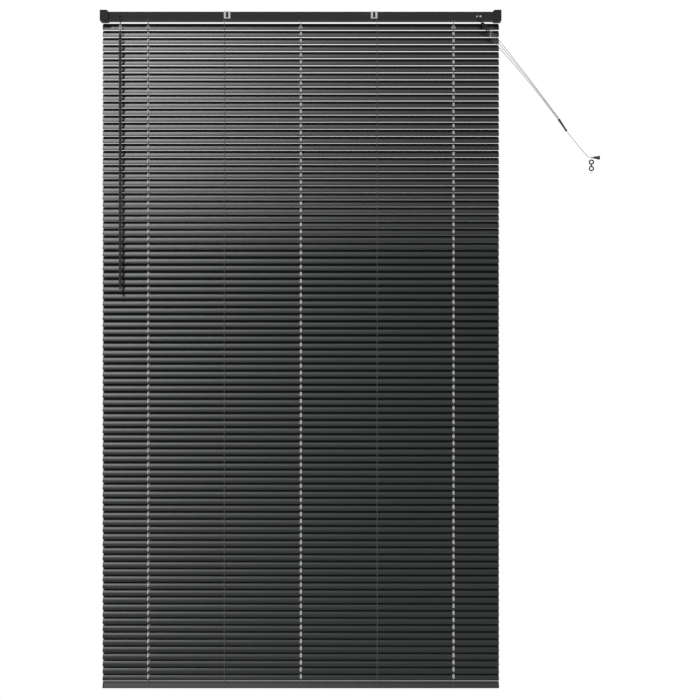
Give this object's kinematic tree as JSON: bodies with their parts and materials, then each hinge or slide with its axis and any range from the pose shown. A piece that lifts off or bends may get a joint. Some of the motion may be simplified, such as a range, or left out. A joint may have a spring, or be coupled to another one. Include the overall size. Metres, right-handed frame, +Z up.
{
  "type": "venetian blind",
  "caption": "Black venetian blind with narrow slats, box end brackets, a tilt wand and three pull cords that run aside to a cleat.",
  "frame": {"origin": "on the wall plane, midway between the end brackets, level with their tops", "axes": "+X to the right along the headrail, +Y into the wall, +Z up"},
  "size_m": [1.5117, 0.038, 2.0511],
  "materials": {
    "slat_black": "satin black vinyl",
    "headrail_black": "satin black paint on steel",
    "black_plastic": "black moulded plastic with a low gloss",
    "pale_grey_plastic": "pale grey moulded plastic",
    "white_nylon": "natural white nylon",
    "steel": "plain zinc plated steel",
    "cord_grey": "braided polyester cord, mid grey",
    "cord_dark": "fine knitted polyester ladder string"
  },
  "bodies": {
    "root": {"headrail": "headrail_black", "left_bracket": "headrail_black", "right_bracket": "headrail_black", "left_clip": "pale_grey_plastic", "right_clip": "pale_grey_plastic", "tilter_housing": "black_plastic", "cord_lock": "black_plastic", "cord_cleat": "black_plastic", "cord_joiner": "black_plastic", "tail_cord": "cord_grey", "tassel": "black_plastic", "cord_tails": "cord_grey", "cradle_1": "white_nylon", "cradle_2": "white_nylon", "cradle_3": "white_nylon", "cradle_4": "white_nylon", "cradle_5": "white_nylon", "ladder_1": "cord_dark", "ladder_2": "cord_dark", "ladder_3": "cord_dark", "ladder_4": "cord_dark", "ladder_5": "cord_dark", "lift_cord_1": "cord_grey", "lift_cord_2": "cord_grey", "lift_cord_3": "cord_grey", "pull_cord_1": "cord_grey", "pull_cord_2": "cord_grey", "pull_cord_3": "cord_grey"},
    "tilt_shaft": {"tilt_rod": "steel", "tilter_gear": "white_nylon", "ladder_drum_1": "white_nylon", "ladder_drum_2": "white_nylon", "ladder_drum_3": "white_nylon", "ladder_drum_4": "white_nylon", "ladder_drum_5": "white_nylon"},
    "worm_shaft": {"tilter_worm": "black_plastic"},
    "link": {"wand_link": "pale_grey_plastic"},
    "wand_rod": {"wand": "black_plastic"},
    "left_door": {"left_bracket_door": "headrail_black"},
    "right_door": {"right_bracket_door": "headrail_black"},
    "roller": {"lock_roller": "steel"},
    "rail_carrier": {"lift_cord_knot": "cord_grey"},
    "rail": {"bottom_rail": "headrail_black", "left_rail_cap": "black_plastic", "right_rail_cap": "black_plastic"},
    "slat_00_body": {"slat_00": "slat_black"},
    "slat_13_body": {"slat_13": "slat_black"},
    "carrier_13": {"slat_carrier_13": "cord_grey"},
    "slat_26_body": {"slat_26": "slat_black"},
    "carrier_26": {"slat_carrier_26": "cord_grey"},
    "slat_39_body": {"slat_39": "slat_black"},
    "carrier_39": {"slat_carrier_39": "cord_grey"},
    "slat_53_body": {"slat_53": "slat_black"},
    "carrier_53": {"slat_carrier_53": "cord_grey"},
    "slat_66_body": {"slat_66": "slat_black"},
    "carrier_66": {"slat_carrier_66": "cord_grey"},
    "slat_79_body": {"slat_79": "slat_black"},
    "carrier_79": {"slat_carrier_79": "cord_grey"},
    "slat_92_body": {"slat_92": "slat_black"},
    "carrier_92": {"slat_carrier_92": "cord_grey"}
  },
  "joints": [
    {"name": "tilt", "type": "hinge", "parent": "root", "child": "tilt_shaft", "pos_m": [0, -0.015, -0.017], "axis": [-1, 0, 0], "range_deg": [0, 124]},
    {"name": "lift", "type": "slide", "parent": "root", "child": "rail_carrier", "axis": [0, 0, 1], "range_m": [0, 1.7], "deforming": ["ladder_1", "ladder_2", "ladder_3", "ladder_4", "ladder_5", "lift_cord_1", "lift_cord_2", "lift_cord_3"]},
    {"name": "rail_tilt", "type": "hinge", "parent": "rail_carrier", "child": "rail", "pos_m": [0, -0.015, -2.0404], "axis": [-1, 0, 0], "range_deg": [0, 124]},
    {"name": "worm_spin", "type": "hinge", "parent": "root", "child": "worm_shaft", "pos_m": [-0.5436, -0.02289, -0.01413], "axis": [0, -0.342, -0.9397], "range_deg": [0, 1984]},
    {"name": "wand_swing", "type": "hinge", "parent": "root", "child": "link", "pos_m": [-0.5436, -0.03413, -0.0462], "axis": [-1, 0, 0], "range_deg": [0, 35]},
    {"name": "wand_spin", "type": "hinge", "parent": "link", "child": "wand_rod", "pos_m": [-0.5436, -0.03413, -0.0625], "axis": [0, 0, -1], "range_deg": [0, 1984]},
    {"name": "left_door_hinge", "type": "hinge", "parent": "root", "child": "left_door", "pos_m": [-0.593, -0.03115, -0.03165], "axis": [1, 0, 0], "range_deg": [0, 100]},
    {"name": "right_door_hinge", "type": "hinge", "parent": "root", "child": "right_door", "pos_m": [0.593, -0.03115, -0.03165], "axis": [1, 0, 0], "range_deg": [0, 100]},
    {"name": "roller_swing", "type": "hinge", "parent": "root", "child": "roller", "pos_m": [0.543, -0.015, -0.016], "axis": [1, 0, 0], "range_deg": [0, 40]},
    {"name": "slat_00_tilt", "type": "hinge", "parent": "root", "child": "slat_00_body", "pos_m": [0, -0.015, -0.047], "axis": [-1, 0, 0], "range_deg": [0, 124]},
    {"name": "slat_13_lift", "type": "slide", "parent": "root", "child": "carrier_13", "axis": [0, 0, 1], "range_m": [0, 0.23987]},
    {"name": "slat_13_tilt", "type": "hinge", "parent": "carrier_13", "child": "slat_13_body", "pos_m": [0, -0.015, -0.3252], "axis": [-1, 0, 0], "range_deg": [0, 124]},
    {"name": "slat_26_lift", "type": "slide", "parent": "root", "child": "carrier_26", "axis": [0, 0, 1], "range_m": [0, 0.47924]},
    {"name": "slat_26_tilt", "type": "hinge", "parent": "carrier_26", "child": "slat_26_body", "pos_m": [0, -0.015, -0.6034], "axis": [-1, 0, 0], "range_deg": [0, 124]},
    {"name": "slat_39_lift", "type": "slide", "parent": "root", "child": "carrier_39", "axis": [0, 0, 1], "range_m": [0, 0.71861]},
    {"name": "slat_39_tilt", "type": "hinge", "parent": "carrier_39", "child": "slat_39_body", "pos_m": [0, -0.015, -0.8816], "axis": [-1, 0, 0], "range_deg": [0, 124]},
    {"name": "slat_53_lift", "type": "slide", "parent": "root", "child": "carrier_53", "axis": [0, 0, 1], "range_m": [0, 0.97639]},
    {"name": "slat_53_tilt", "type": "hinge", "parent": "carrier_53", "child": "slat_53_body", "pos_m": [0, -0.015, -1.1812], "axis": [-1, 0, 0], "range_deg": [0, 124]},
    {"name": "slat_66_lift", "type": "slide", "parent": "root", "child": "carrier_66", "axis": [0, 0, 1], "range_m": [0, 1.21576]},
    {"name": "slat_66_tilt", "type": "hinge", "parent": "carrier_66", "child": "slat_66_body", "pos_m": [0, -0.015, -1.4594], "axis": [-1, 0, 0], "range_deg": [0, 124]},
    {"name": "slat_79_lift", "type": "slide", "parent": "root", "child": "carrier_79", "axis": [0, 0, 1], "range_m": [0, 1.45513]},
    {"name": "slat_79_tilt", "type": "hinge", "parent": "carrier_79", "child": "slat_79_body", "pos_m": [0, -0.015, -1.7376], "axis": [-1, 0, 0], "range_deg": [0, 124]},
    {"name": "slat_92_lift", "type": "slide", "parent": "root", "child": "carrier_92", "axis": [0, 0, 1], "range_m": [0, 1.6945]},
    {"name": "slat_92_tilt", "type": "hinge", "parent": "carrier_92", "child": "slat_92_body", "pos_m": [0, -0.015, -2.0158], "axis": [-1, 0, 0], "range_deg": [0, 124]}
  ],
  "couplings": [
    {"joint": "rail_tilt", "follows": "tilt", "ratio": 1},
    {"joint": "worm_spin", "follows": "tilt", "ratio": 16},
    {"joint": "wand_spin", "follows": "tilt", "ratio": 16},
    {"joint": "slat_00_tilt", "follows": "tilt", "ratio": 1},
    {"joint": "slat_13_lift", "follows": "lift", "ratio": 0.14081},
    {"joint": "slat_13_tilt", "follows": "tilt", "ratio": 1},
    {"joint": "slat_26_lift", "follows": "lift", "ratio": 0.28161},
    {"joint": "slat_26_tilt", "follows": "tilt", "ratio": 1},
    {"joint": "slat_39_lift", "follows": "lift", "ratio": 0.42242},
    {"joint": "slat_39_tilt", "follows": "tilt", "ratio": 1},
    {"joint": "slat_53_lift", "follows": "lift", "ratio": 0.57405},
    {"joint": "slat_53_tilt", "follows": "tilt", "ratio": 1},
    {"joint": "slat_66_lift", "follows": "lift", "ratio": 0.71486},
    {"joint": "slat_66_tilt", "follows": "tilt", "ratio": 1},
    {"joint": "slat_79_lift", "follows": "lift", "ratio": 0.85567},
    {"joint": "slat_79_tilt", "follows": "tilt", "ratio": 1},
    {"joint": "slat_92_lift", "follows": "lift", "ratio": 0.99647},
    {"joint": "slat_92_tilt", "follows": "tilt", "ratio": 1}
  ]
}
